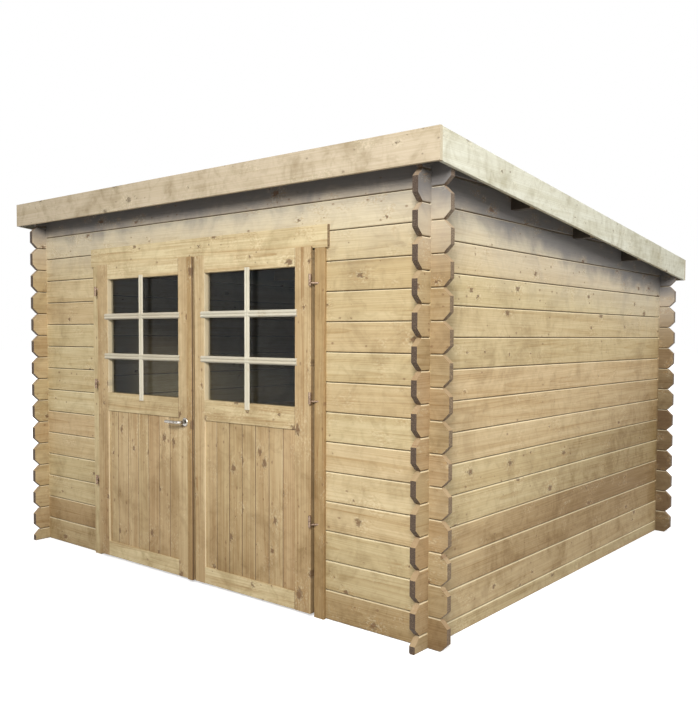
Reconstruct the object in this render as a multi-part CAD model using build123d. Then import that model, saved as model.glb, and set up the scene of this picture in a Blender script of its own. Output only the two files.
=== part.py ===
from build123d import *
import os

os.makedirs("parts", exist_ok=True)

# Driving dimensions in millimetres. X runs along the door wall, Y to the back, Z up from the ground.
WALL_WIDTH = 2910.0
WALL_DEPTH = 2730.0
BOARD_THICKNESS = 28.0
BOARD_COVER = 135.0
END_LENGTH = 94.0
END_CHAMFER = 35.0

# The roof slopes down to the back, and its edge boards stand past the walls on every side.
ROOF_OVERHANG = 115.0
FRONT_EAVES = 2097.0
REAR_EAVES = 1798.0
FASCIA_HEIGHT = 134.0
FASCIA_THICKNESS = 18.0
DECK_DROP = 10.0
DECK_THICKNESS = 18.0
FELT_THICKNESS = 4.0
PURLIN_WIDTH = 45.0
PURLIN_DEPTH = 112.0
PURLIN_SPACING = 680.0

# The doorway: a grooved frame that the cut boards of the front wall slide into.
FRAME_HALF_WIDTH = 898.0
FRAME_LIP = 18.0
FRAME_PROUD = 16.0
HEAD_OVERRUN = 17.0
HEAD_BOTTOM = 1683.0
HEAD_TOP = 1785.0
HEAD_GROOVE = 1724.0
JAMB_INNER = 839.0
STOP_LAP = 12.0
STOP_CLEARANCE = 6.0

# Each door leaf: two stiles, three rails, a glazed top and a boarded foot.
# The leaves stand proud of the frame, and a lip along their tops laps over its head.
LEAF_PROUD = 16.0
LEFT_MEETING_EDGE = 19.0
RIGHT_MEETING_EDGE = 27.0
LEAF_HINGE_EDGE = 831.0
LEAF_THICKNESS = 40.0
LEAF_BOTTOM = 16.0
LEAF_TOP = 1675.0
LIP_TOP = 1690.0
LIP_THICKNESS = 11.0
OPENING_INNER = 104.0
OPENING_OUTER = 732.0
BOTTOM_RAIL_TOP = 100.0
MIDDLE_RAIL_BOTTOM = 855.0
MIDDLE_RAIL_TOP = 959.0
TOP_RAIL_BOTTOM = 1604.0
GROOVE_DEPTH = 10.0
GLASS_SETBACK = 26.0
GLASS_THICKNESS = 4.0
PANEL_SETBACK = 8.0
PANEL_THICKNESS = 16.0
PANEL_BOARDS = 7
PANEL_GROOVE = 3.0
STRIP_WIDTH = 42.0
STRIP_THICKNESS = 12.0
STRIP_CHAMFER = 5.0

# Barrel hinges stand in front of the joint between leaf and frame.
HINGE_HEIGHTS = (445.0, 1006.0, 1539.0)
HINGE_PROUD = 10.0
BARREL_RADIUS = 7.0
BARREL_LENGTH = 26.0
BARREL_GAP = 1.0
PIN_RADIUS = 3.0
PIN_BORE_RADIUS = 3.5
PIN_REACH = 20.0
SHANK_WIDTH = 6.0

# Lever handle on the lock stile of the left leaf, one lever outside and one inside.
HANDLE_X = -46.0
HANDLE_HEIGHT = 837.0
ROSE_RADIUS = 22.0
ROSE_THICKNESS = 8.0
ROSE_EDGE = 2.5
LEVER_WIDTH = 18.0
LEVER_EDGE = 5.0
LEVER_TIP = 2.0
LEVER_STANDOFF = 48.0
LEVER_LENGTH = 112.0
LEVER_BEND = 18.0
LEVER_CLEARANCE = 1.0
SPINDLE_RADIUS = 4.0

# Sizes worked out from the driving ones.
HALF_WIDTH = WALL_WIDTH / 2
HALF_DEPTH = WALL_DEPTH / 2
QUARTER = BOARD_COVER / 4
FRONT = -HALF_DEPTH
FRAME_FACE = FRONT - FRAME_PROUD
LEAF_FACE = FRAME_FACE - LEAF_PROUD
LEAF_BACK = LEAF_FACE + LEAF_THICKNESS
FRAME_BACK = FRONT + BOARD_THICKNESS + FRAME_PROUD
EDGE_X = HALF_WIDTH + ROOF_OVERHANG
EDGE_Y = HALF_DEPTH + ROOF_OVERHANG
ROOF_SLOPE = (FRONT_EAVES - REAR_EAVES) / (2 * EDGE_Y)
DECK_UNDERSIDE = DECK_DROP + DECK_THICKNESS
OPENING_HALF = FRAME_HALF_WIDTH - FRAME_LIP
SPLIT_COURSE = 13
FRONT_COURSES = 15
REAR_COURSES = 13
SIDE_COURSES = 15
HINGE_X = (LEAF_HINGE_EDGE + JAMB_INNER) / 2
HINGE_Y = LEAF_FACE - HINGE_PROUD
REACH = 2000.0
SKY = 3000.0


def roof_height(y, drop=0.0):
    """Height at depth y of the plane through the fascia tops, lowered by drop."""
    return FRONT_EAVES - ROOF_SLOPE * (y + EDGE_Y) - drop


def block(x0, x1, y0, y1, z0, z1):
    """Square-cut piece between two opposite corners."""
    corner = (Align.MIN, Align.MIN, Align.MIN)
    return Pos(x0, y0, z0) * Box(x1 - x0, y1 - y0, z1 - z0, align=corner)


def across(points, x0, x1):
    """Piece of one cross-section, given as (y, z) points, running along X."""
    face = Plane.YZ * Polygon(*points, align=None)
    return Pos(x0, 0, 0) * extrude(face, amount=x1 - x0, dir=(1, 0, 0))


def along(points, y0, y1):
    """Piece of one outline, given as (x, z) points, as thick as y0 to y1."""
    face = Plane.XZ * Polygon(*points, align=None)
    return Pos(0, y0, 0) * extrude(face, amount=y1 - y0, dir=(0, 1, 0))


def upright(points, z0, z1):
    """Piece of one cross-section, given as (x, y) points, standing from z0 to z1."""
    face = Polygon(*points, align=None)
    return Pos(0, 0, z0) * extrude(face, amount=z1 - z0, dir=(0, 0, 1))


def sloping(y0, y1, top, bottom, x0, x1):
    """Piece that follows the roof, between two planes below the fascia tops."""
    points = [
        (y0, roof_height(y0, bottom)),
        (y1, roof_height(y1, bottom)),
        (y1, roof_height(y1, top)),
        (y0, roof_height(y0, top)),
    ]
    return across(points, x0, x1)


def board_joints(first, count):
    """Heights of the joints between boards, from the ground up."""
    joints = [0.0] if first > 0 else []
    return joints + [first + BOARD_COVER * course for course in range(count + 1)]


def wall_outline(half, joints, square_foot):
    """Outline of a wall seen square on, with the corners cut off every board end."""
    tip = half + END_LENGTH
    shoulder = tip - END_CHAMFER
    side = [(tip, joints[0])] if square_foot else [(shoulder, joints[0]), (tip, joints[0] + END_CHAMFER)]
    for joint in joints[1:-1]:
        side += [(tip, joint - END_CHAMFER), (shoulder, joint), (tip, joint + END_CHAMFER)]
    side += [(tip, joints[-1] - END_CHAMFER), (shoulder, joints[-1])]
    return side + [(-u, z) for u, z in reversed(side)]


def above_roof():
    """Everything over the underside of the roof boards."""
    return across(
        [
            (-REACH, roof_height(-REACH, DECK_UNDERSIDE)),
            (REACH, roof_height(REACH, DECK_UNDERSIDE)),
            (REACH, SKY),
            (-REACH, SKY),
        ],
        -REACH,
        REACH,
    )


def crossing_notches(half, levels, span):
    """Notches through a wall where the boards of the crossing wall pass, as (u, z) boxes."""
    notches = []
    for side in (-1, 1):
        inner, outer = sorted((side * (half - BOARD_THICKNESS), side * half))
        for level in levels:
            notches.append(span(inner, outer, level - QUARTER, level + QUARTER))
    return notches


def cross_wall(y, courses):
    """Wall along X: boards start on the ground and are notched at whole courses."""
    joints = board_joints(0.0, courses)
    wall = along(wall_outline(HALF_WIDTH, joints, False), y, y + BOARD_THICKNESS)
    inside = HALF_WIDTH - BOARD_THICKNESS
    wall += block(-inside, inside, y, y + BOARD_THICKNESS, joints[-1], joints[-1] + BOARD_COVER)
    levels = [BOARD_COVER * course for course in range(courses + 1)]
    notches = crossing_notches(
        HALF_WIDTH, levels, lambda a, b, low, high: block(a, b, y, y + BOARD_THICKNESS, low, high)
    )
    return wall - notches - above_roof()


def side_wall(x):
    """Wall along Y: it starts with a half board, so its joints lie half a board off the others."""
    joints = board_joints(BOARD_COVER / 2, SIDE_COURSES)
    outline = wall_outline(HALF_DEPTH, joints, True)
    wall = across(outline, x, x + BOARD_THICKNESS)
    levels = [BOARD_COVER * (course + 0.5) for course in range(SIDE_COURSES)]
    notches = crossing_notches(
        HALF_DEPTH, levels, lambda a, b, low, high: block(x, x + BOARD_THICKNESS, a, b, low, high)
    )
    wall = wall - notches - above_roof()
    for place in (-1, 0, 1):
        wall -= purlin(place)
    return wall


def purlin(place):
    """Roof beam from side to side, bevelled on top to the slope of the roof."""
    y = place * PURLIN_SPACING
    foot = roof_height(y, DECK_UNDERSIDE + PURLIN_DEPTH)
    near = y - PURLIN_WIDTH / 2
    far = y + PURLIN_WIDTH / 2
    reach = EDGE_X - FASCIA_THICKNESS
    points = [
        (near, foot),
        (far, foot),
        (far, roof_height(far, DECK_UNDERSIDE)),
        (near, roof_height(near, DECK_UNDERSIDE)),
    ]
    return across(points, -reach, reach)


def front_wall():
    """Front wall in three pieces: beside the doorway on each side, and over it."""
    whole = cross_wall(FRONT, FRONT_COURSES)
    split = BOARD_COVER * SPLIT_COURSE
    whole -= block(-OPENING_HALF, OPENING_HALF, FRONT, FRONT + BOARD_THICKNESS, 0, HEAD_GROOVE)
    depth = (FRONT - 1, FRONT + BOARD_THICKNESS + 1)
    left = block(-REACH, -OPENING_HALF, *depth, -1, split)
    right = block(OPENING_HALF, REACH, *depth, -1, split)
    return whole & left, whole & right, whole - left - right


def door_jamb(side):
    """Grooved post beside the doorway, holding the cut ends of the wall boards."""
    points = [
        (side * JAMB_INNER, FRAME_FACE),
        (side * FRAME_HALF_WIDTH, FRAME_FACE),
        (side * FRAME_HALF_WIDTH, FRONT),
        (side * OPENING_HALF, FRONT),
        (side * OPENING_HALF, FRONT + BOARD_THICKNESS),
        (side * FRAME_HALF_WIDTH, FRONT + BOARD_THICKNESS),
        (side * FRAME_HALF_WIDTH, FRAME_BACK),
        (side * JAMB_INNER, FRAME_BACK),
    ]
    return upright(points, 0, HEAD_BOTTOM)


def door_head():
    """Grooved beam over the doorway, with its outer board longer than the frame is wide."""
    overrun = FRAME_HALF_WIDTH + HEAD_OVERRUN
    head = block(-overrun, overrun, FRAME_FACE, FRONT, HEAD_BOTTOM, HEAD_TOP)
    head += block(-OPENING_HALF, OPENING_HALF, FRONT, FRONT + BOARD_THICKNESS, HEAD_BOTTOM, HEAD_GROOVE)
    back = FRONT + BOARD_THICKNESS
    head += block(-FRAME_HALF_WIDTH, FRAME_HALF_WIDTH, back, FRAME_BACK, HEAD_BOTTOM, HEAD_TOP)
    return head


def door_stops():
    """Slim battens inside the frame that the closed leaves come up against."""
    near = LEAF_BACK + STOP_CLEARANCE
    lap = LEAF_HINGE_EDGE - STOP_LAP
    low = LEAF_TOP - STOP_LAP
    return {
        "door_stop_left": block(-JAMB_INNER, -lap, near, FRAME_BACK, 0, HEAD_BOTTOM),
        "door_stop_right": block(lap, JAMB_INNER, near, FRAME_BACK, 0, HEAD_BOTTOM),
        "door_stop_head": block(-lap, lap, near, FRAME_BACK, low, HEAD_BOTTOM),
    }


def door_glass():
    """Pane of the right leaf, let into the groove round its opening."""
    left = OPENING_INNER - GROOVE_DEPTH
    right = OPENING_OUTER + GROOVE_DEPTH
    face = LEAF_FACE + GLASS_SETBACK
    low = MIDDLE_RAIL_TOP - GROOVE_DEPTH
    return block(left, right, face, face + GLASS_THICKNESS, low, TOP_RAIL_BOTTOM + GROOVE_DEPTH)


def door_panel():
    """Upright boards in the foot of the right leaf, with a V at each joint on both faces."""
    left = OPENING_INNER - GROOVE_DEPTH
    right = OPENING_OUTER + GROOVE_DEPTH
    face = LEAF_FACE + PANEL_SETBACK
    back = face + PANEL_THICKNESS
    pitch = (right - left) / PANEL_BOARDS
    front_line = [(left, face)]
    back_line = [(left, back)]
    for joint in range(1, PANEL_BOARDS):
        x = left + pitch * joint
        front_line += [(x - PANEL_GROOVE, face), (x, face + PANEL_GROOVE), (x + PANEL_GROOVE, face)]
        back_line += [(x - PANEL_GROOVE, back), (x, back - PANEL_GROOVE), (x + PANEL_GROOVE, back)]
    points = front_line + [(right, face), (right, back)] + back_line[::-1]
    return upright(points, BOTTOM_RAIL_TOP - GROOVE_DEPTH, MIDDLE_RAIL_BOTTOM + GROOVE_DEPTH)


def panel_housing():
    """Room that the boarded foot takes up in the grooves of the leaf."""
    left = OPENING_INNER - GROOVE_DEPTH
    right = OPENING_OUTER + GROOVE_DEPTH
    face = LEAF_FACE + PANEL_SETBACK
    low = BOTTOM_RAIL_TOP - GROOVE_DEPTH
    return block(left, right, face, face + PANEL_THICKNESS, low, MIDDLE_RAIL_BOTTOM + GROOVE_DEPTH)


def lipped(left, right, low):
    """Timber of a leaf that reaches its top and ends there in the lip."""
    timber = block(left, right, LEAF_FACE, LEAF_BACK, low, LEAF_TOP)
    return timber + block(left, right, LEAF_FACE, LEAF_FACE + LIP_THICKNESS, LEAF_TOP, LIP_TOP)


def leaf_pieces(meeting_edge):
    """Pieces of a right leaf by name, whose meeting edge lies at this place. A left leaf mirrors them."""
    rail = (OPENING_INNER, OPENING_OUTER, LEAF_FACE, LEAF_BACK)
    glass = door_glass()
    filling = [glass, panel_housing()]
    return {
        "lock_stile": lipped(meeting_edge, OPENING_INNER, LEAF_BOTTOM) - filling,
        "hinge_stile": lipped(OPENING_OUTER, LEAF_HINGE_EDGE, LEAF_BOTTOM) - filling,
        "bottom_rail": block(*rail, LEAF_BOTTOM, BOTTOM_RAIL_TOP) - filling,
        "middle_rail": block(*rail, MIDDLE_RAIL_BOTTOM, MIDDLE_RAIL_TOP) - filling,
        "top_rail": lipped(OPENING_INNER, OPENING_OUTER, TOP_RAIL_BOTTOM) - filling,
        "panel": door_panel(),
        "glass": glass,
    }


def cover_strip():
    """Batten down the meeting edge of the left leaf, with its outer corners taken off."""
    left = LEFT_MEETING_EDGE - STRIP_WIDTH
    right = LEFT_MEETING_EDGE
    face = LEAF_FACE - STRIP_THICKNESS
    points = [
        (left, LEAF_FACE),
        (left, face + STRIP_CHAMFER),
        (left + STRIP_CHAMFER, face),
        (right - STRIP_CHAMFER, face),
        (right, face + STRIP_CHAMFER),
        (right, LEAF_FACE),
    ]
    return upright(points, LEAF_BOTTOM, LIP_TOP)


def hinge_barrel(toward, low, high, wood):
    """Barrel of a drive-in hinge, with its square shank running slantwise to the face of the wood."""
    barrel = Pos(HINGE_X, HINGE_Y, low) * Cylinder(
        BARREL_RADIUS, high - low, align=(Align.CENTER, Align.CENTER, Align.MIN)
    )
    middle = (low + high) / 2
    way = Vector(toward, 1, 0)
    shank_plane = Plane(origin=(HINGE_X, HINGE_Y, middle), x_dir=(0, 0, 1), z_dir=way)
    shank = extrude(shank_plane * Rectangle(SHANK_WIDTH, SHANK_WIDTH), amount=2 * (wood - HINGE_Y))
    shank -= block(HINGE_X - REACH, HINGE_X + REACH, wood, wood + REACH, middle - REACH, middle + REACH)
    return barrel + shank


def frame_hinges():
    """Lower barrels of the right leaf's hinges, each with the pin that carries the leaf."""
    pieces = []
    for height in HINGE_HEIGHTS:
        barrel = hinge_barrel(1, height - BARREL_LENGTH, height, FRAME_FACE)
        pin = Pos(HINGE_X, HINGE_Y, height) * Cylinder(
            PIN_RADIUS, PIN_REACH, align=(Align.CENTER, Align.CENTER, Align.MIN)
        )
        pieces.append(barrel + pin)
    return Compound(children=[piece.solid() for piece in pieces])


def leaf_hinges():
    """Upper barrels of the right leaf's hinges, bored to turn on the pins."""
    pieces = []
    for height in HINGE_HEIGHTS:
        low = height + BARREL_GAP
        barrel = hinge_barrel(-1, low, low + BARREL_LENGTH, LEAF_FACE)
        bore = Pos(HINGE_X, HINGE_Y, low) * Cylinder(
            PIN_BORE_RADIUS, PIN_REACH + BARREL_GAP, align=(Align.CENTER, Align.CENTER, Align.MIN)
        )
        pieces.append(barrel - bore)
    return Compound(children=[piece.solid() for piece in pieces])


def rod(radius, y0, y1):
    """Round bar along Y on the axis of the handle."""
    plane = Plane(origin=(HANDLE_X, y0, HANDLE_HEIGHT), z_dir=(0, 1, 0))
    return extrude(plane * Circle(radius), amount=y1 - y0)


def handle_rose(face, outward):
    """Round plate under a lever, bored for its neck and bevelled at its rim."""
    y0, y1 = sorted((face, face + outward * ROSE_THICKNESS))
    plate = rod(ROSE_RADIUS, y0, y1)
    rim = plate.edges().filter_by(GeomType.CIRCLE).sort_by(Axis.Y)
    plate = chamfer(rim[0] if outward < 0 else rim[-1], ROSE_EDGE)
    return plate - rod(LEVER_WIDTH / 2 + LEVER_CLEARANCE, y0, y1)


def handle_lever(face, outward):
    """Bevelled bar: a neck out of the rose, one bend, and a grip that points to the hinges."""
    start = face + outward * LEVER_CLEARANCE
    bend = face + outward * LEVER_STANDOFF
    path = FilletPolyline(
        (HANDLE_X, start, HANDLE_HEIGHT),
        (HANDLE_X, bend, HANDLE_HEIGHT),
        (HANDLE_X - LEVER_LENGTH, bend, HANDLE_HEIGHT),
        radius=LEVER_BEND,
    )
    bar = Rectangle(LEVER_WIDTH, LEVER_WIDTH)
    bar = chamfer(bar.vertices(), LEVER_EDGE)
    section = Plane(origin=(HANDLE_X, start, HANDLE_HEIGHT), x_dir=(1, 0, 0), z_dir=(0, outward, 0)) * bar
    lever = sweep(section, path=path)
    tip = lever.faces().sort_by(Axis.X)[0]
    return chamfer(tip.edges(), LEVER_TIP)


def mirrored(piece):
    """The same piece on the other side of the doorway."""
    return mirror(piece, about=Plane.YZ)


def build_nodes():
    """Every piece of the shed by its name."""
    nodes = {}
    nodes["front_wall_left"], nodes["front_wall_right"], nodes["front_wall_top"] = front_wall()
    nodes["rear_wall"] = cross_wall(HALF_DEPTH - BOARD_THICKNESS, REAR_COURSES)
    nodes["left_wall"] = side_wall(-HALF_WIDTH)
    nodes["right_wall"] = side_wall(HALF_WIDTH - BOARD_THICKNESS)

    nodes["door_jamb_left"] = door_jamb(-1)
    nodes["door_jamb_right"] = door_jamb(1)
    nodes["door_head"] = door_head()
    nodes.update(door_stops())

    deck_x = EDGE_X - FASCIA_THICKNESS
    deck_y = EDGE_Y - FASCIA_THICKNESS
    felt_top = DECK_DROP - FELT_THICKNESS
    nodes["roof_deck"] = sloping(-deck_y, deck_y, DECK_DROP, DECK_UNDERSIDE, -deck_x, deck_x)
    nodes["roof_felt"] = sloping(-deck_y, deck_y, felt_top, DECK_DROP, -deck_x, deck_x)
    nodes["fascia_front"] = block(-EDGE_X, EDGE_X, -EDGE_Y, -deck_y, FRONT_EAVES - FASCIA_HEIGHT, FRONT_EAVES)
    nodes["fascia_rear"] = block(-EDGE_X, EDGE_X, deck_y, EDGE_Y, REAR_EAVES - FASCIA_HEIGHT, REAR_EAVES)
    nodes["fascia_left"] = sloping(-deck_y, deck_y, 0, FASCIA_HEIGHT, -EDGE_X, -deck_x)
    nodes["fascia_right"] = sloping(-deck_y, deck_y, 0, FASCIA_HEIGHT, deck_x, EDGE_X)
    for place, name in ((-1, "purlin_front"), (0, "purlin_middle"), (1, "purlin_rear")):
        nodes[name] = purlin(place)

    for name, piece in leaf_pieces(RIGHT_MEETING_EDGE).items():
        nodes["right_door_" + name] = piece
    for name, piece in leaf_pieces(-LEFT_MEETING_EDGE).items():
        nodes["left_door_" + name] = mirrored(piece)
    nodes["left_door_lock_stile"] -= rod(SPINDLE_RADIUS + LEVER_CLEARANCE, LEAF_FACE, LEAF_BACK)
    nodes["left_door_cover_strip"] = cover_strip()

    nodes["right_frame_hinges"] = frame_hinges()
    nodes["left_frame_hinges"] = mirrored(frame_hinges())
    nodes["right_door_hinges"] = leaf_hinges()
    nodes["left_door_hinges"] = mirrored(leaf_hinges())

    outer_rose = handle_rose(LEAF_FACE, -1)
    inner_rose = handle_rose(LEAF_BACK, 1)
    nodes["handle_roses"] = Compound(children=[outer_rose.solid(), inner_rose.solid()])
    nodes["handle_spindle"] = rod(SPINDLE_RADIUS, LEAF_FACE - LEVER_CLEARANCE, LEAF_BACK + LEVER_CLEARANCE)
    nodes["handle_lever_outer"] = handle_lever(LEAF_FACE, -1)
    nodes["handle_lever_inner"] = handle_lever(LEAF_BACK, 1)
    return nodes


for node_name, node_shape in build_nodes().items():
    export_step(node_shape, "parts/" + node_name + ".step")
    print(node_name, len(node_shape.solids()), round(node_shape.volume / 1e6, 3))
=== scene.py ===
"""Dresses a garden shed of notched boards: its walls, doors, glazing, roof and ironwork."""

import logging
import math
import random
from dataclasses import dataclass
from enum import Enum
from functools import partial
from typing import Any

import bmesh
import bpy
from mathutils import Matrix, Vector


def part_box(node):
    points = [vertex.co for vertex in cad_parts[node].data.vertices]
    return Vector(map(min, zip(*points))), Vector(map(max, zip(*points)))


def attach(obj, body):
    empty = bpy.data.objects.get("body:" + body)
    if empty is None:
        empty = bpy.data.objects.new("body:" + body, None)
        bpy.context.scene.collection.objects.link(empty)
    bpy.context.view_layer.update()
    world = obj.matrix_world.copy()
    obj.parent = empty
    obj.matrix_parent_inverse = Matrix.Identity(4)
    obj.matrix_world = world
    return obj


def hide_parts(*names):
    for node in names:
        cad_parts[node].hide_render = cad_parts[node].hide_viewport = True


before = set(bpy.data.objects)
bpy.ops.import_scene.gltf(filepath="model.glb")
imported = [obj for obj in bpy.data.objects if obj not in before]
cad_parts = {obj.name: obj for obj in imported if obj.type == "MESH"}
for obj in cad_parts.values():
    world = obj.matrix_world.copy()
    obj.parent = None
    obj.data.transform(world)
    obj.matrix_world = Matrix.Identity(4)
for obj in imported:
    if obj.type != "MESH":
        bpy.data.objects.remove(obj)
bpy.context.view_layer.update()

LOG = logging.getLogger("shed")
MM = 0.001

# Sizes that several sub-assemblies share, in millimetres.
HALF_WIDTH = 1455.0
HALF_DEPTH = 1365.0
ROOF_TOP = 2097.0
ROOF_SLOPE = 0.10101
ROOF_HALF_WIDTH = 1570.0
ROOF_HALF_DEPTH = 1480.0
EDGE_BOARD = 18.0
DECK_TOP = 10.0
DECK_UNDERSIDE = 28.0
OPENING_HALF = 880.0
HEAD_GROOVE = 1724.0

Point = tuple[float, float]
Tree = bpy.types.NodeTree
Socket = bpy.types.NodeSocket
Material = bpy.types.Material


class Way(Enum):
    """A direction of the shed: along the door wall, to the back, or up."""

    X = 0
    Y = 1
    Z = 2


class Side(Enum):
    """A side of the doorway, seen from outside."""

    LEFT = -1
    RIGHT = 1


def add(
    tree: Tree, kind: str, links: dict[int | str, Any] | None = None, **settings: Any
) -> bpy.types.NodeOutputs:
    """Adds a node with its settings and what goes into its sockets.

    Args:
        tree: Node tree that gets the node.
        kind: Blender's name for the kind of node, without "ShaderNode" in front.
        links: Socket or plain value for each input, by its name or number.
        **settings: Properties of the node itself.

    Returns:
        The outputs of the new node.
    """
    made = tree.nodes.new(f"ShaderNode{kind}")
    for name, value in settings.items():
        setattr(made, name, value)
    for key, value in (links or {}).items():
        if isinstance(value, Socket):
            tree.links.new(value, made.inputs[key])
        else:
            made.inputs[key].default_value = value
    return made.outputs


def linear(code: str) -> tuple[float, float, float, float]:
    """Turns an sRGB hex colour to linear.

    Args:
        code: Colour such as "D6C18E".

    Returns:
        Linear red, green and blue, and an alpha of 1.
    """
    parts = [int(code[i : i + 2], 16) / 255 for i in (0, 2, 4)]
    red, green, blue = (c / 12.92 if c <= 0.04045 else ((c + 0.055) / 1.055) ** 2.4 for c in parts)
    return red, green, blue, 1.0


def node_box(name: str) -> tuple[list[float], list[float]]:
    """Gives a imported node's box.

    Args:
        name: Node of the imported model.

    Returns:
        Its lowest and highest corner in millimetres.
    """
    low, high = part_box(name)
    return [round(c / MM, 2) for c in low], [round(c / MM, 2) for c in high]


def roof_level(y: float, drop: float) -> float:
    """Height at a depth, some way under the plane of the edge boards' tops, in millimetres."""
    return ROOF_TOP - ROOF_SLOPE * (y + ROOF_HALF_DEPTH) - drop


class Painter:
    """Node tree of one material, with the steps that all finishes share."""

    def __init__(self, name: str) -> None:
        """Starts a material.

        Args:
            name: Name of the material.
        """
        self.material = bpy.data.materials.new(name)
        self.material.use_nodes = True
        self.tree = self.material.node_tree
        self.shader = self.tree.nodes["Principled BSDF"]
        self.add = partial(add, self.tree)
        spots = self.add("TexCoord")
        self.place, self.normal = spots["Object"], spots["Normal"]
        self.colour: Any = None

    def clouds(
        self,
        place: Socket,
        per_metre: tuple[float, float, float],
        detail: float,
        roughness: float = 0.55,
        swirl: float = 0.0,
    ) -> Socket:
        """Draws a cloudy pattern that may be stretched along one direction.

        Args:
            place: Place that the pattern is tied to, in metres.
            per_metre: Clouds per metre in each direction.
            detail: How many finer layers lie over it.
            roughness: How strong those layers are.
            swirl: How far the clouds are stirred.

        Returns:
            The pattern, mostly from 0.3 to 0.7.
        """
        spread = self.add("VectorMath", {0: place, 1: per_metre}, operation="MULTIPLY")[0]
        links = {"Vector": spread, "Scale": 1.0, "Detail": detail}
        return self.add("TexNoise", links | {"Roughness": roughness, "Distortion": swirl})["Fac"]

    def ramp(
        self,
        pattern: Socket,
        start: float,
        end: float,
        most: float = 1.0,
        least: float = 0.0,
        smooth: bool = True,
    ) -> Socket:
        """Turns a pattern to a value that goes from least at start to most at end, and no further.

        Args:
            pattern: Value to read.
            start: Value that gives least. It may lie above the end.
            end: Value that gives most.
            most: Result at the end.
            least: Result at the start.
            smooth: Whether the change is eased at both ends.

        Returns:
            The new value.
        """
        low, high, first, last = (start, end, least, most) if start < end else (end, start, most, least)
        links = {0: pattern, 1: low, 2: high, 3: first, 4: last}
        way = "SMOOTHSTEP" if smooth else "LINEAR"
        return self.add("MapRange", links, interpolation_type=way)[0]

    def tint(self, share: Socket, code: str, blend: str = "MIX") -> None:
        """Lays a tint over the colour so far.

        Args:
            share: Where and how much.
            code: The tint, as sRGB hex.
            blend: How the two are mixed.
        """
        links = {0: share, 6: self.colour, 7: linear(code)}
        self.colour = self.add("Mix", links, data_type="RGBA", blend_type=blend)[2]

    def finish(
        self, rough: Socket, height: Socket | None = None, strength: float = 0.0, rise: float = 0.0
    ) -> Material:
        """Joins colour, roughness and relief to the shader.

        Args:
            rough: Roughness.
            height: Pattern of the relief, if there is any.
            strength: How strong the relief looks.
            rise: Height of the relief in metres.

        Returns:
            The finished material.
        """
        self.tree.links.new(self.colour, self.shader.inputs["Base Color"])
        self.tree.links.new(rough, self.shader.inputs["Roughness"])
        if height is not None:
            bump = self.add("Bump", {"Height": height, "Strength": strength, "Distance": rise})
            self.tree.links.new(bump[0], self.shader.inputs["Normal"])
        return self.material


@dataclass(frozen=True)
class Softwood:
    """Finish of planed softwood with a brownish preservative: matt, knotty, with soft growth lines."""

    name: str
    early: str
    late: str
    dull: str
    pink: str
    stain: str
    end_grain: str
    cut: str = "967C5E"
    grain_contrast: float = 0.3
    ring_mm: float = 6.0
    streak_mm: float = 5.0
    streak_contrast: float = 0.3
    knot_cell_mm: float = 120.0
    knot_share: float = 0.3
    mottle: float = 0.35
    foot: float = 0.4
    foot_height: float = 0.6
    foot_rise: float = 0.0
    # How far the wood greys under the roof, and how strong the overhang's painted shadow is there.
    eaves: float = 0.0
    # How far the ends past the corners darken: stain and painted shade on walls, painted shadow on the roof.
    ends_soak_and_shade: float = 0.0
    burl: float = 0.7
    knot_core: str = "6B4A2C"
    knot_rim: str = "3B2716"
    knot_halo: str = "A98A5E"
    # Dark of the joints: grime, with painted shade on bevels that face down and on edges marked shaded.
    joint: str = "4D381F"
    # Pale flecks by the knots, a painted highlight on bevels that face up, and painted light on marked edges.
    arris: str = "EDE0BE"
    # Multiplied over those ends: stain with painted shade on walls, the overhang's painted shadow on the
    # roof.
    soak_and_shade_tint: str = "C8BCB2"
    # Multiplied over those ends once more towards the back.
    damp: str = "A5A09B"
    # Grey under the roof, below the painted shadow.
    eaves_grey: str = "C8C0B2"
    # Painted shadow of the overhang, nearest the roof.
    shade: str = "626163"
    roughness: float = 0.68

    def build(self) -> Material:
        """Makes the material."""
        return SoftwoodPainter(self).paint()


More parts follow.
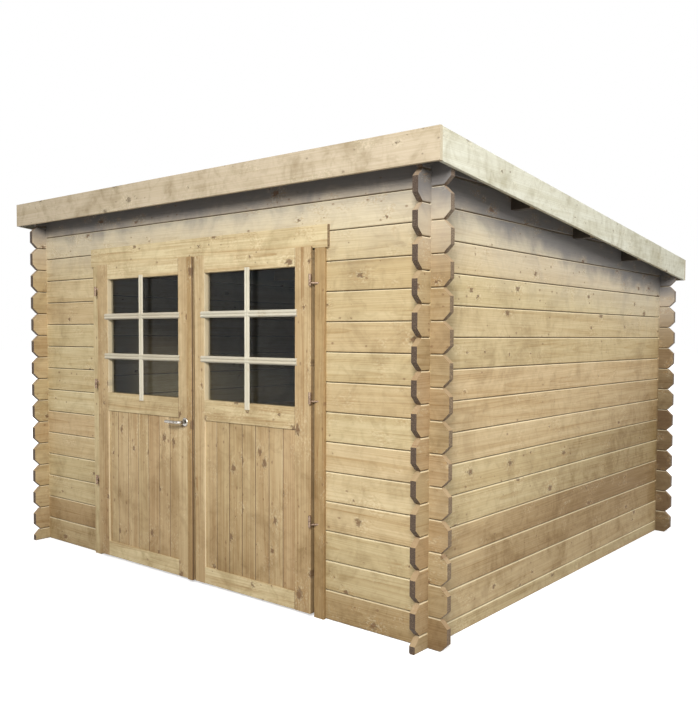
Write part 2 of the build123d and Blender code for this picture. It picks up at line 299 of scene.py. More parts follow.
class SoftwoodPainter(Painter):
    """Draws a softwood finish from the marks that every timber carries: grain, board, way, and joints with
    painted light and shade.
    """

    def __init__(self, wood: Softwood) -> None:
        """Reads the marks.

        Args:
            wood: Finish to draw.
        """
        super().__init__(wood.name)
        self.wood = wood
        self.grain = self.add("Attribute", attribute_name="grain")["Vector"]
        board = self.add("Attribute", attribute_name="board")["Vector"]
        self.tone, self.knotty, self.pink = self.add("SeparateXYZ", {0: board})
        self.where = self.add("SeparateXYZ", {0: self.place})
        self.knots = self.draw_knots()
        self.late = self.growth_lines()
        per_metre = 1.0 / (wood.streak_mm * MM)
        self.fibre = self.clouds(self.grain, (2.4, per_metre, per_metre), 3.0)
        turn = {"Vector": self.place, "Axis": (0.62, 0.48, 0.62), "Angle": 0.8}
        self.turned = self.add("VectorRotate", turn)[0]
        self.patches = self.clouds(self.turned, (4.2, 4.2, 4.2), 5.0, 0.62, 0.7)

    def paint(self) -> Material:
        """Lays all layers of the finish over one another.

        Returns:
            The finished material.
        """
        self.plain_wood()
        self.stains()
        if self.wood.ends_soak_and_shade:
            self.soaked_and_shaded_ends()
        if self.wood.eaves:
            self.under_eaves()
        self.knotty_wood()
        self.cuts_and_joints()
        rough = self.wood.roughness
        rough = self.ramp(self.fibre, 0.3, 0.7, rough + 0.1, rough - 0.08, smooth=False)
        relief = self.add("Math", {0: self.late, 1: 0.5, 2: self.fibre}, operation="MULTIPLY_ADD")[0]
        relief = self.add("Math", {0: relief, 1: self.knots["core"]}, operation="ADD")[0]
        return self.finish(rough, relief, strength=0.5, rise=0.8 * MM)

    def draw_knots(self) -> dict[str, Socket]:
        """Draws knots as ragged spots in whorls along the board, with pin knots round them.

        Returns:
            Masks of the knots' cores, their rims, the wood disturbed round them, and pin knots.
        """
        wood = self.wood
        often = self.ramp(self.knotty, 0.0, 1.0, wood.knot_share * 1.8, wood.knot_share * 0.35, smooth=False)
        large = (("core", 1.1, 0.7), ("rim", 1.6, 0.95), ("halo", 6.5, 1.0))
        masks: dict[str, Socket] = {}
        for cell_mm, least, most, part, spots in (
            (wood.knot_cell_mm, 0.03, 0.11, 1.0, large),
            (wood.knot_cell_mm / 2.7, 0.035, 0.13, 0.45, (("pin", 1.5, 0.6),)),
        ):
            cell = cell_mm * MM
            links = {0: self.grain, 1: (0.66 / cell, 1.0 / cell, 0.0)}
            flat = self.add("VectorMath", links, operation="MULTIPLY")[0]
            ragged = self.add("TexNoise", {"Vector": flat, "Scale": 13.0, "Detail": 3.0})["Color"]
            links = {0: ragged, 1: (0.3, 0.24, 0.0), 2: flat}
            flat = self.add("VectorMath", links, operation="MULTIPLY_ADD")[0]
            cells, border = (
                self.add("TexVoronoi", {"Vector": flat, "Scale": 1.0}, voronoi_dimensions="2D", feature=what)
                for what in ("F1", "DISTANCE_TO_EDGE")
            )
            whorl = self.clouds(cells["Position"], (4.0 * cell, 1.2 * cell, 0.0), 1.0)
            share = self.ramp(whorl, 0.42, 0.6, part)
            share = self.add("Math", {0: often, 1: share}, operation="MULTIPLY")[0]
            lot = self.add("SeparateColor", {0: cells["Color"]})
            there = self.add("Math", {0: lot[0], 1: share}, operation="LESS_THAN")[0]
            inner = self.ramp(border["Distance"], 0.0, 0.12)
            there = self.add("Math", {0: there, 1: inner}, operation="MULTIPLY")[0]
            chance = self.add("Math", {0: lot[1], 1: 1.6}, operation="POWER")[0]
            radius = self.ramp(chance, 0.0, 1.0, most, least, smooth=False)
            reach = self.add("Math", {0: cells["Distance"], 1: radius}, operation="DIVIDE")[0]
            for name, far, near in spots:
                spot = self.ramp(reach, far, near)
                masks[name] = self.add("Math", {0: spot, 1: there}, operation="MULTIPLY")[0]
        return masks

    def growth_lines(self) -> Socket:
        """Draws the late wood of each year, bent round the knots.

        Real growth rings are 2 to 4 mm apart. They are drawn coarser, so that they show.

        Returns:
            How much late wood there is, from 0 to 1.
        """
        drawn = self.add("VectorMath", {0: self.grain, 1: (0.06, 1.0, 1.0)}, operation="MULTIPLY")[0]
        bend = self.add("Math", {0: self.knots["halo"], 1: 7.0}, operation="MULTIPLY")[0]
        scale = math.tau / (20.0 * self.wood.ring_mm * MM)
        links = {"Vector": drawn, "Scale": scale, "Phase Offset": bend}
        links |= {"Distortion": 2.2, "Detail": 2.0, "Detail Scale": 0.4}
        settings = {"wave_type": "RINGS", "rings_direction": "X", "wave_profile": "SAW"}
        rings = self.add("TexWave", links, **settings)["Fac"]
        return self.add("Math", {0: rings, 1: 2.6}, operation="POWER")[0]

    def plain_wood(self) -> None:
        """Mixes early and late wood, then the tone of this board."""
        wood = self.wood
        bands = self.clouds(self.grain, (0.9, 26.0, 26.0), 2.0)
        share = self.add("Math", {0: self.late, 1: bands}, operation="MULTIPLY")[0]
        share = self.add("Math", {0: share, 1: 2.0 * wood.grain_contrast}, operation="MULTIPLY")[0]
        for streaks in (self.fibre, bands):
            streak = self.ramp(streaks, 0.38, 0.72, wood.streak_contrast)
            share = self.add("Math", {0: share, 1: streak}, operation="ADD", use_clamp=True)[0]
        self.colour = linear(wood.early)
        self.tint(share, wood.late)
        self.tint(self.tone, wood.dull, "MULTIPLY")
        self.tint(self.pink, wood.pink, "MULTIPLY")

    def stains(self) -> None:
        """Adds patches of preservative and a damp foot, which dull boards take up more."""
        wood = self.wood
        blotches = self.clouds(self.turned, (13.0, 13.0, 13.0), 4.0, 0.6, 1.6)
        depth = self.add("Math", {0: self.where[1], 1: HALF_DEPTH * MM}, operation="ADD")[0]
        links = {0: depth, 1: -wood.foot_rise, 2: self.where[2]}
        height = self.add("Math", links, operation="MULTIPLY_ADD")[0]
        foot = self.ramp(height, wood.foot_height, -0.25, wood.foot)
        take = self.ramp(self.tone, 0.0, 1.0, 1.05, 0.55, smooth=False)
        share = self.add("Math", {0: foot, 1: take}, operation="MULTIPLY")[0]
        for pattern, most in ((self.patches, wood.mottle), (blotches, wood.mottle * 0.6)):
            cloud = self.ramp(pattern, 0.44, 0.7, most)
            share = self.add("Math", {0: share, 1: cloud}, operation="ADD", use_clamp=True)[0]
        self.tint(share, wood.stain, "MULTIPLY")

    def soaked_and_shaded_ends(self) -> None:
        """Darkens ends past the corners, the back most: stain with painted shade on walls, painted shadow on
        the roof.
        """
        wood = self.wood
        for along, corner in ((self.where[0], HALF_WIDTH * MM), (self.where[1], HALF_DEPTH * MM)):
            out = self.add("Math", {0: along}, operation="ABSOLUTE")[0]
            # The ramp starts just inside the corner, so the strip shaded by the crossing boards darkens too:
            # painted shade.
            past = self.ramp(out, corner - 0.003, corner + 0.002, wood.ends_soak_and_shade)
            self.tint(past, wood.soak_and_shade_tint, "MULTIPLY")
            # Darker again towards the back.
            rear = self.ramp(self.where[1], 1.3, 1.33)
            past = self.add("Math", {0: past, 1: rear}, operation="MULTIPLY")[0]
            self.tint(past, wood.damp, "MULTIPLY")

    def under_eaves(self) -> None:
        """Greys the wood close under the roof, and paints the overhang's shadow there as a dark band."""
        wood = self.wood
        links = {0: self.place, 1: (0.0, ROOF_SLOPE, 1.0)}
        rise = self.add("VectorMath", links, operation="DOT_PRODUCT")["Value"]
        rise = self.add("Math", {0: self.patches, 1: 0.16, 2: rise}, operation="MULTIPLY_ADD")[0]
        # On side walls and ends past the corners both bands reach lower: a wider painted shadow there.
        aside = self.add("Math", {0: self.where[0]}, operation="ABSOLUTE")[0]
        aside = self.ramp(aside, 1.43, 1.45, 0.07)
        rise = self.add("Math", {0: rise, 1: aside}, operation="ADD")[0]
        # A lighter grey first, then the overhang's painted shadow nearest the roof.
        for start, end, most, code in ((1.5, 1.86, 0.5, wood.eaves_grey), (1.76, 1.9, 0.85, wood.shade)):
            self.tint(self.ramp(rise, start, end, most * wood.eaves), code)

    def knotty_wood(self) -> None:
        """Lays flecks of disturbed wood and the knots over the wood."""
        wood = self.wood
        flecks = self.clouds(self.grain, (75.0, 120.0, 120.0), 2.0)
        burls = self.clouds(self.grain, (5.5, 9.0, 9.0), 2.0)
        burls = self.ramp(burls, 0.56, 0.68, wood.burl)
        wild = self.add("Math", {0: burls, 1: self.knots["halo"]}, operation="MAXIMUM")[0]
        for start, end, most, code in ((0.5, 0.64, 0.55, wood.knot_halo), (0.49, 0.36, 0.25, wood.arris)):
            share = self.ramp(flecks, start, end, most)
            self.tint(self.add("Math", {0: share, 1: wild}, operation="MULTIPLY")[0], code)
        for name, code, most in (
            ("pin", wood.knot_core, 0.62),
            ("rim", wood.knot_rim, 0.5),
            ("core", wood.knot_core, 0.62),
        ):
            self.tint(self.add("Math", {0: self.knots[name], 1: most}, operation="MULTIPLY")[0], code)

    def cuts_and_joints(self) -> None:
        """Darkens the sawn ends of boards and their joints, most where cuts and bevels face down: painted
        shade.
        """
        wood = self.wood
        way = self.add("Attribute", attribute_name="way")["Vector"]
        groove = self.add("Attribute", attribute_name="groove")["Fac"]
        up = self.add("SeparateXYZ", {0: self.normal})[2]
        facing = self.add("VectorMath", {0: way, 1: self.normal}, operation="DOT_PRODUCT")["Value"]
        facing = self.add("Math", {0: facing}, operation="ABSOLUTE")[0]
        long_face = self.ramp(facing, 0.45, 0.2)
        self.tint(self.ramp(facing, 0.5, 0.72, 0.6), wood.cut)
        sideways = self.add("SeparateXYZ", {0: way})[0]
        # Cuts that face down take more of the end-grain dark: painted shade. Ends of boards along the width
        # take less.
        for pattern, part in ((up, -0.4), (self.fibre, 0.5), (sideways, -0.13)):
            facing = self.add("Math", {0: pattern, 1: part, 2: facing}, operation="MULTIPLY_ADD")[0]
        self.tint(self.ramp(facing, 0.85, 1.3), wood.end_grain)
        # Faces that face up: a painted highlight in their bevels, and less of the joints' dark.
        upward = self.add("Math", {0: up, 1: 0.0}, operation="MAXIMUM")[0]
        painted_highlight = self.add("Math", {0: upward, 1: groove}, operation="MULTIPLY")[0]
        painted_highlight = self.add("Math", {0: painted_highlight, 1: long_face}, operation="MULTIPLY")[0]
        self.tint(self.ramp(painted_highlight, 0.02, 0.3, 0.45), wood.arris)
        # Edges marked light: painted light.
        self.tint(self.ramp(groove, -0.05, -0.4, 0.5), wood.arris)
        # Dark of the joints: grime, with painted shade where bevels face down and on edges marked shaded.
        dirt_and_shade = self.add("Math", {0: upward, 1: -0.75, 2: groove}, operation="MULTIPLY_ADD")[0]
        self.tint(self.ramp(dirt_and_shade, 0.15, 0.75, 0.95), wood.joint)


@dataclass(frozen=True)
class Steel:
    """Finish of zinc-plated or satin steel: grey, softly blurred highlights, a little dulled."""

    name: str
    bright: str
    dull: str
    roughness: float
    spot_mm: float

    def build(self) -> Material:
        """Makes the material.

        Returns:
            The finished material.
        """
        painter = Painter(self.name)
        painter.shader.inputs["Metallic"].default_value = 1.0
        per_metre = 1.0 / (self.spot_mm * MM)
        spots = painter.clouds(painter.place, (per_metre, per_metre, per_metre), 4.0, 0.65)
        painter.colour = linear(self.bright)
        painter.tint(painter.ramp(spots, 0.42, 0.68, smooth=False), self.dull)
        rough = painter.ramp(spots, 0.3, 0.75, self.roughness + 0.18, self.roughness - 0.08, smooth=False)
        return painter.finish(rough, spots, strength=0.25, rise=0.3 * MM)


@dataclass(frozen=True)
class Felt:
    """Finish of mineral roof felt: slate grit on bitumen, matt, with mossy patches and dusty run-off.

    Real grit is about 1 mm across. It is drawn coarser, so that it shows.
    """

    name: str = "mineral_roof_felt"
    grit: str = "5A5E5E"
    bitumen: str = "232527"
    moss: str = "4A4F3A"
    dust: str = "8B8A80"
    grit_mm: float = 5.0

    def build(self) -> Material:
        """Makes the material.

        Returns:
            The finished material.
        """
        painter = Painter(self.name)
        place = painter.place
        grit = painter.add("TexVoronoi", {"Vector": place, "Scale": 1.0 / (self.grit_mm * MM)})
        lot = painter.add("SeparateColor", {0: grit["Color"]})[0]
        painter.colour = linear(self.bitumen)
        painter.tint(lot, self.grit)
        patches = painter.clouds(place, (2.6, 2.6, 2.6), 5.0, 0.65)
        runs = painter.clouds(place, (9.0, 0.8, 0.8), 4.0, 0.6)
        for pattern, start, end, most, code in (
            (patches, 0.45, 0.66, 0.7, self.moss),
            (patches, 0.46, 0.3, 0.45, self.dust),
            (runs, 0.5, 0.72, 0.4, self.dust),
        ):
            painter.tint(painter.ramp(pattern, start, end, most, smooth=False), code)
        rough = painter.ramp(lot, 0.0, 1.0, 0.95, 0.72, smooth=False)
        return painter.finish(rough, lot, strength=0.6, rise=1.0 * MM)


@dataclass(frozen=True)
class WindowGlass:
    """Finish of float glass: dark and see-through, glossy, with faint wipe marks and dust."""

    name: str = "float_glass"
    glass: str = "1A2124"
    dust: str = "5C5F58"
    opacity: float = 0.2
    gloss: float = 0.56

    def build(self) -> Material:
        """Makes the material.

        Returns:
            The finished material.
        """
        painter = Painter(self.name)
        wiped = painter.clouds(painter.place, (3.4, 3.4, 3.4), 5.0, 0.7, 0.8)
        painter.colour = linear(self.glass)
        painter.tint(painter.ramp(wiped, 0.45, 0.8, 0.3, smooth=False), self.dust)
        painter.shader.inputs["Specular IOR Level"].default_value = self.gloss
        painter.shader.inputs["Alpha"].default_value = self.opacity
        return painter.finish(painter.ramp(wiped, 0.3, 0.8, 0.16, 0.02, smooth=False))


# Wall boards: pale straw with pinkish and dull boards among them, dark at the sawn ends and in the joints,
# with painted shade where cuts and bevels face down. Greyed under the roof, where the overhang's shadow is
# painted as a dark band, and darker at the ends past the corners, partly as painted shade.
WALL_WOOD = Softwood(
    name="planed_treated_spruce_wall",
    early="EBDFB5",
    late="C0A873",
    dull="E9E3D8",
    pink="F4E8E3",
    stain="B0A38B",
    end_grain="3C2D21",
    knot_share=0.6,
    foot=1.0,
    foot_height=0.55,
    foot_rise=0.35,
    eaves=1.0,
    ends_soak_and_shade=0.75,
)
# Door timber: browner and more streaked than the walls, and darker towards the ground.
DOOR_WOOD = Softwood(
    name="planed_treated_spruce_door",
    early="DACBA2",
    late="AF9365",
    dull="D0C2AC",
    pink="F2DEDA",
    stain="B0A388",
    end_grain="5F4C38",
    grain_contrast=0.4,
    streak_mm=9.0,
    streak_contrast=0.36,
    knot_cell_mm=130.0,
    knot_share=0.9,
    foot=0.6,
    foot_height=1.0,
)
# Edge boards of the roof: rinsed paler and cooler than the walls, with clear knots and grey clouds.
FASCIA_WOOD = Softwood(
    name="planed_treated_spruce_fascia",
    early="D7D6C5",
    late="BAB59A",
    dull="E8D7C9",
    pink="F6F2F0",
    stain="C0B8A4",
    end_grain="B5A88C",
    cut="CFC7AE",
    grain_contrast=0.25,
    knot_share=0.5,
    mottle=0.5,
    foot=0.0,
    burl=0.85,
    knot_core="6F604A",
    knot_rim="54452F",
    knot_halo="A79C80",
)
# Roof boards and beams: rougher, unrinsed wood that looks dull and brown. Past the walls, at the eaves,
# they are painted nearly black as the overhang's shadow.
ROOF_WOOD = Softwood(
    name="sawn_spruce_roof",
    early="BBA47C",
    late="947A54",
    dull="DDD5C8",
    pink="EBDCD4",
    stain="9A8F7C",
    end_grain="8A7354",
    foot=0.0,
    # Past the walls: the overhang's painted shadow, a dark bluish grey.
    ends_soak_and_shade=1.0,
    soak_and_shade_tint="57575C",
    roughness=0.8,
)
# Glazing bars: the palest, smoothest wood on the shed, free of knots.
BAR_WOOD = Softwood(
    name="planed_pale_spruce_bar",
    early="CCC6B4",
    late="B8B098",
    dull="F2F0EC",
    pink="F8F4F0",
    stain="DAD4C6",
    end_grain="C3B392",
    grain_contrast=0.2,
    streak_contrast=0.2,
    knot_share=0.0,
    foot=0.0,
    mottle=0.25,
)
# Hinges: plated steel gone dull and brown, with a weak, broad gleam.
HINGE_STEEL = Steel("zinc_plated_steel", bright="94806F", dull="5C4839", roughness=0.55, spot_mm=6.0)
# Handle: satin steel with one bright, softly blurred streak, brownish where hands dulled it.
HANDLE_STEEL = Steel("satin_stainless_steel", bright="BBB7AF", dull="7A7066", roughness=0.28, spot_mm=14.0)


@dataclass(frozen=True)
class Timber:
    """One piece of wood, cut to an outline and as thick as near to far. Sizes in millimetres.

    The outline's points lie along the two directions of spread, and the thickness runs the third way.
    Tone, pinkness and knottiness go from 0 to 1, and are drawn by lot where they are left out.
    Dirt lies in the bevels of a jointed timber and all over a grooved one; where they face down it is darker,
    as painted shade, and where they face up they get a painted highlight. A shaded side puts painted shade on
    one
    edge and painted light on the other: -1 is the lower-numbered edge and 1 the other.
    """

    outline: tuple[Point, ...]
    spread: tuple[Way, Way]
    near: float
    far: float
    grain: Way
    bevel: float = 2.5
    slope: float = 0.0
    tone: float | None = None
    pink: float | None = None
    knots: float | None = None
    jointed: bool = False
    grooved: bool = False
    painted_shade_side: int = 0


def looks(tone: float, pink: float, knots: float) -> dict[str, float]:
    """Gathers the tone, pinkness and knottiness of a timber."""
    return {"tone": tone, "pink": pink, "knots": knots}


def rectangle(a0: float, b0: float, a1: float, b1: float) -> tuple[Point, ...]:
    """Draws a rectangle between two corners, once round."""
    return (a0, b0), (a1, b0), (a1, b1), (a0, b1)


def box_timber(low: list[float], high: list[float], grain: Way, **traits: Any) -> Timber:
    """Makes a square-cut timber between two corners.

    Args:
        low: Lowest corner in millimetres.
        high: Highest corner in millimetres.
        grain: Direction of the grain, along or up.
        **traits: Other fields of the timber.

    Returns:
        The timber.
    """
    outline = rectangle(low[0], low[2], high[0], high[2])
    return Timber(outline, (Way.X, Way.Z), low[1], high[1], grain, **traits)


def new_piece(
    name: str, points: list[Vector], faces: list[list[int]], finish: Material
) -> bpy.types.Object:
    """Makes an object in the scene.

    Args:
        name: Name of the object and its mesh.
        points: Its points, in metres.
        faces: The points of each face.
        finish: Its material.

    Returns:
        The new object.
    """
    mesh = bpy.data.meshes.new(name)
    mesh.from_pydata(points, [], faces)
    mesh.materials.append(finish)
    made = bpy.data.objects.new(name, mesh)
    bpy.context.scene.collection.objects.link(made)
    return made


class Stack:
    """Timbers gathered into one mesh, each with its own run of grain, tone and knots."""

    # Marks of a timber's edge with painted shade and of its edge with painted light.
    painted_shade_edge = 0.46
    pale = -0.4
    shortest = 8.0
    aligned = 0.98
    nearly = 0.2
    surface = 0.5
    pith_aside = 45.0
    pith_depths = (25.0, 85.0)
    lean = (0.012, 0.02)
    run_off = 60000.0

    def __init__(self, seed: int) -> None:
        """Starts an empty stack.

        Args:
            seed: Seed of the random choices for these timbers.
        """
        self.random = random.Random(seed)
        self.points: list[Vector] = []
        self.faces: list[list[int]] = []
        self.marks: dict[str, list[float]] = {"grain": [], "board": [], "way": [], "groove": []}

    def shape(self, timber: Timber) -> bmesh.types.BMesh:
        """Cuts one timber and takes the arrises off its long edges.

        Args:
            timber: What to cut.

        Returns:
            Its mesh in millimetres, to be freed by the caller.
        """
        first, second = (way.value for way in timber.spread)
        made = bmesh.new()
        rings = []
        for depth in (timber.near, timber.far):
            ring = []
            for a, b in timber.outline:
                spot = [depth, depth, depth]
                spot[first], spot[second] = a, b
                ring.append(made.verts.new(spot))
            rings.append(ring)
        near, far = rings
        made.faces.new(near)
        made.faces.new(far[::-1])
        count = len(near)
        for i in range(count):
            j = (i + 1) % count
            made.faces.new((near[i], near[j], far[j], far[i]))
        bmesh.ops.recalc_face_normals(made, faces=made.faces)
        if timber.bevel:
            edges = self.long_edges(made, timber)
            bmesh.ops.bevel(made, geom=edges, offset=timber.bevel, segments=1, profile=0.5, affect="EDGES")
        return made

    def across(self, made: bmesh.types.BMesh, timber: Timber) -> tuple[int, dict[int, float]]:
        """Finds which way a timber is wide, the slope of a sloping one taken out.

        Args:
            made: Mesh of the timber.
            timber: What it was cut from.

        Returns:
            The wider of the two directions across the grain, and each point's place that way.
        """
        along = timber.grain.value
        places = {}
        for way in {0, 1, 2} - {along}:
            slope = timber.slope if way == Way.Z.value else 0.0
            places[way] = {vert.index: vert.co[way] + slope * vert.co[along] for vert in made.verts}
        wide = max(places, key=lambda way: max(places[way].values()) - min(places[way].values()))
        return wide, places[wide]

    def long_edges(self, made: bmesh.types.BMesh, timber: Timber) -> list[bmesh.types.BMEdge]:
        """Finds the edges along the grain at the top and bottom of both faces.

        Args:
            made: Mesh of the timber before its arrises are taken off.
            timber: What it was cut from.

        Returns:
            The edges to bevel.
        """
        made.verts.index_update()
        along = timber.grain.value
        levels = self.across(made, timber)[1]
        ends = min(levels.values()), max(levels.values())
        chosen = []
        for edge in made.edges:
            run = edge.verts[1].co - edge.verts[0].co
            straight = run.length >= self.shortest and abs(run[along]) >= self.aligned * run.length
            if straight and any(
                all(abs(levels[vert.index] - end) < self.nearly for vert in edge.verts) for end in ends
            ):
                chosen.append(edge)
        return chosen

    def lay(self, timber: Timber) -> None:
        """Adds a timber to the stack, with the marks that its finish reads.

        Args:
            timber: What to add.
        """
        made = self.shape(timber)
        made.verts.index_update()
        along = timber.grain.value
        across = self.across(made, timber)[0]
        depth = 3 - along - across
        first = len(self.points)
        corner = [min(v.co[i] for v in made.verts) for i in range(3)]
        far_corner = [max(v.co[i] for v in made.verts) for i in range(3)]
        centre = [(a + b) / 2 for a, b in zip(corner, far_corner)]
        lot = self.random
        pith_across = lot.uniform(-self.pith_aside, self.pith_aside)
        pith_depth = lot.choice((-1, 1)) * lot.uniform(*self.pith_depths)
        lean_across, lean_depth = (lot.uniform(-most, most) for most in self.lean)
        start = lot.uniform(0.0, self.run_off)
        tone = 0.85 * lot.random() if timber.tone is None else timber.tone
        pink = lot.random() ** 1.5 if timber.pink is None else timber.pink
        knots = lot.random() if timber.knots is None else timber.knots
        for vert in made.verts:
            offset = [vert.co[i] - centre[i] for i in range(3)]
            run = offset[along]
            inside = min(vert.co[depth] - corner[depth], far_corner[depth] - vert.co[depth])
            edge = timber.painted_shade_side * offset[across]
            groove = 0.0
            # Joint bevels and tongues carry grime; a shaded side's edges carry painted shade and painted
            # light.
            if timber.grooved or (timber.jointed and inside > self.surface):
                groove = 1.0
            elif edge and inside > self.surface:
                groove = self.painted_shade_edge if edge > 0 else self.pale
            self.marks["grain"] += [
                (run + start) * MM,
                (offset[across] - pith_across + lean_across * run) * MM,
                (offset[depth] - pith_depth + lean_depth * run) * MM,
            ]
            self.marks["board"] += [tone, knots, pink]
            self.marks["way"] += [float(i == along) for i in range(3)]
            self.marks["groove"].append(groove)
            self.points.append(vert.co * MM)
        self.faces += [[vert.index + first for vert in face.verts] for face in made.faces]
        made.free()

    def piece(self, name: str, finish: Material) -> bpy.types.Object:
        """Makes the object of all timbers laid so far.

        Args:
            name: Name of the piece.
            finish: Its material.

        Returns:
            The new object.
        """
        made = new_piece(name, self.points, self.faces, finish)
        for mark, values in self.marks.items():
            kind, key = ("FLOAT", "value") if mark == "groove" else ("FLOAT_VECTOR", "vector")
            made.data.attributes.new(mark, kind, "POINT").data.foreach_set(key, values)
        made.data.validate()
        return made


def settle(piece: bpy.types.Object, body: str, slot: str, *nodes: str) -> None:
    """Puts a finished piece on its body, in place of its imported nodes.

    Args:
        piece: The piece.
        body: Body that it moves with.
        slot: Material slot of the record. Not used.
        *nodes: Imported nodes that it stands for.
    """
    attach(piece, body)
    if nodes:
        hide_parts(*nodes)
    LOG.info("%s on %s, %d faces", piece.name, body, len(piece.data.polygons))


def dress(node: str, finish: Material) -> None:
    """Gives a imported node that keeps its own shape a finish.

    Args:
        node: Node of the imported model.
        finish: Its material.
    """
    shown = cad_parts[node]
    for held in shown.material_slots:
        held.link = "OBJECT"
        held.material = finish
    LOG.info("%s keeps its shape, finished in %s", node, finish.name)


@dataclass
class NotchedWalls:
    """Four walls of boards that cross at the corners, half a board apart in height."""

    finish: Material
    cover: float = 135.0
    thickness: float = 28.0
    end_length: float = 94.0
    end_cut: float = 35.0
    end_play: float = 2.0
    cut_play: float = 1.0
    gap: float = 1.6
    v_joint: float = 5.2
    tongue: float = 4.0
    tongue_short: float = 8.0
    strip_gap: float = 1.0
    split_course: int = 13
    front_courses: int = 15
    rear_courses: int = 13
    side_courses: int = 15

    def board_outline(
        self, half: float, low: float, high: float, square_foot: bool, rng: random.Random
    ) -> list[Point]:
        """Draws a whole board with its cut ends and its crossing notches.

        Args:
            half: Half the outer length of the wall.
            low: Lower edge of the board.
            high: Upper edge of the board.
            square_foot: Whether the board stands flat on the ground with plain lower corners.
            rng: Source of small differences between board ends.

        Returns:
            Points (along the wall, up), once round.
        """
        quarter = self.cover / 4
        inner = half - self.thickness
        bottom = low + (0.0 if low == 0 else self.gap / 2)
        top = high - self.gap / 2
        points: list[Point] = []
        for side in (1, -1):
            tip = half + self.end_length - rng.uniform(0.0, self.end_play)
            shoulder = tip - self.end_cut - rng.uniform(0.0, self.cut_play)
            rising = [(tip, bottom)]
            if not square_foot:
                rising = [(inner, bottom), (inner, low + quarter), (half, low + quarter), (half, bottom)]
                rising += [(shoulder, bottom), (tip, low + self.end_cut)]
            rising += [(tip, high - self.end_cut), (shoulder, top), (half, top), (half, high - quarter)]
            rising += [(inner, high - quarter), (inner, top)]
            rising = [(side * along, up) for along, up in rising]
            points += rising if side > 0 else rising[::-1]
        return points

    def clipped(self, points: list[Point], a: float, b: float, c: float) -> list[Point]:
        """Keeps the part of an outline where a*u + b*z is at most c.

        Args:
            points: Outline, once round.
            a: Factor along the wall.
            b: Factor up.
            c: Limit.

        Returns:
            The outline that is left, which may be empty.
        """
        kept: list[Point] = []
        for here, there in zip(points, points[1:] + points[:1]):
            inside, after = (c - a * p[0] - b * p[1] for p in (here, there))
            if inside >= 0:
                kept.append(here)
            if (inside > 0 > after) or (inside < 0 < after):
                part = inside / (inside - after)
                kept.append(tuple(p + (q - p) * part for p, q in zip(here, there)))
        return kept

    def lay_board(
        self,
        stack: Stack,
        outline: list[Point],
        spread: tuple[Way, Way],
        near: float,
        bevel: float | None = None,
    ) -> None:
        """Lays one board of a wall, unless nothing is left of it.

        Args:
            stack: Stack that gets it.
            outline: Its outline.
            spread: Directions of the outline.
            near: Where its lower-numbered face lies.
            bevel: Width of the bevels along it, or nothing for those of the V joints.
        """
        if len(outline) >= 3:
            bevel = self.v_joint if bevel is None else bevel
            far = near + self.thickness
            stack.lay(Timber(tuple(outline), spread, near, far, spread[0], bevel, jointed=True))

    def lay_tongue(
        self, stack: Stack, spread: tuple[Way, Way], near: float, start: float, end: float, joint: float
    ) -> None:
        """Lays the tongue that closes the joint between two boards.

        Args:
            stack: Stack that gets it.
            spread: Directions of the wall.
            near: Where the wall's lower-numbered face lies.
            start: Start along the wall.
            end: End along the wall.
            joint: Height of the joint.
        """
        reach = self.tongue
        middle = near + self.thickness / 2
        outline = rectangle(start, joint - reach, end, joint + reach)
        stack.lay(Timber(outline, spread, middle - reach, middle + reach, spread[0], bevel=0, grooved=True))

    def lay_slip(
        self, stack: Stack, spread: tuple[Way, Way], near: float, courses: int, ceiling: float
    ) -> None:
        """Lays the narrow board that fills up a wall under the roof.

        Args:
            stack: Stack that gets it.
            spread: Directions of the wall.
            near: Where the wall's lower-numbered face lies.
            courses: Whole boards below it.
            ceiling: Height of the roof boards.
        """
        inside = HALF_WIDTH - self.thickness
        outline = rectangle(-inside, courses * self.cover, inside, ceiling)
        self.lay_board(stack, list(outline), spread, near, bevel=0)

    def tongue_end(self, half: float) -> float:
        """Tells how far the tongues reach in a wall of some half length."""
        return half + self.end_length - self.end_cut - self.tongue_short

    def front(self) -> None:
        """Builds the door wall: beside the doorway on each side, and over it."""
        spread = (Way.X, Way.Z)
        face = -HALF_DEPTH
        ceiling = roof_level(face + self.thickness, DECK_UNDERSIDE)
        end = self.tongue_end(HALF_WIDTH)
        stacks = {"left": Stack(11), "right": Stack(12), "top": Stack(13)}
        runs = {"left": (-end, -OPENING_HALF), "right": (OPENING_HALF, end), "top": (-end, end)}
        rng = random.Random(5)
        for course in range(self.front_courses):
            low, high = course * self.cover, (course + 1) * self.cover
            whole = self.board_outline(HALF_WIDTH, low, high, False, rng)
            whole = self.clipped(whole, 0.0, 1.0, ceiling)
            parts = {"top": whole}
            if course < self.split_course:
                parts = {
                    name: self.clipped(whole, sign, 0.0, -OPENING_HALF)
                    for name, sign in (("left", 1.0), ("right", -1.0))
                }
            for name, part in parts.items():
                self.lay_board(stacks[name], part, spread, face)
                if course:
                    self.lay_tongue(stacks[name], spread, face, *runs[name], low)
        split = self.split_course * self.cover
        strip = rectangle(-OPENING_HALF, HEAD_GROOVE, OPENING_HALF, split - self.strip_gap)
        self.lay_board(stacks["top"], list(strip), spread, face, bevel=0)
        self.lay_slip(stacks["top"], spread, face, self.front_courses, ceiling)
        for name, stack in stacks.items():
            piece = stack.piece(f"front_wall_{name}_boards", self.finish)
            settle(piece, "root", "wall_wood", f"front_wall_{name}")

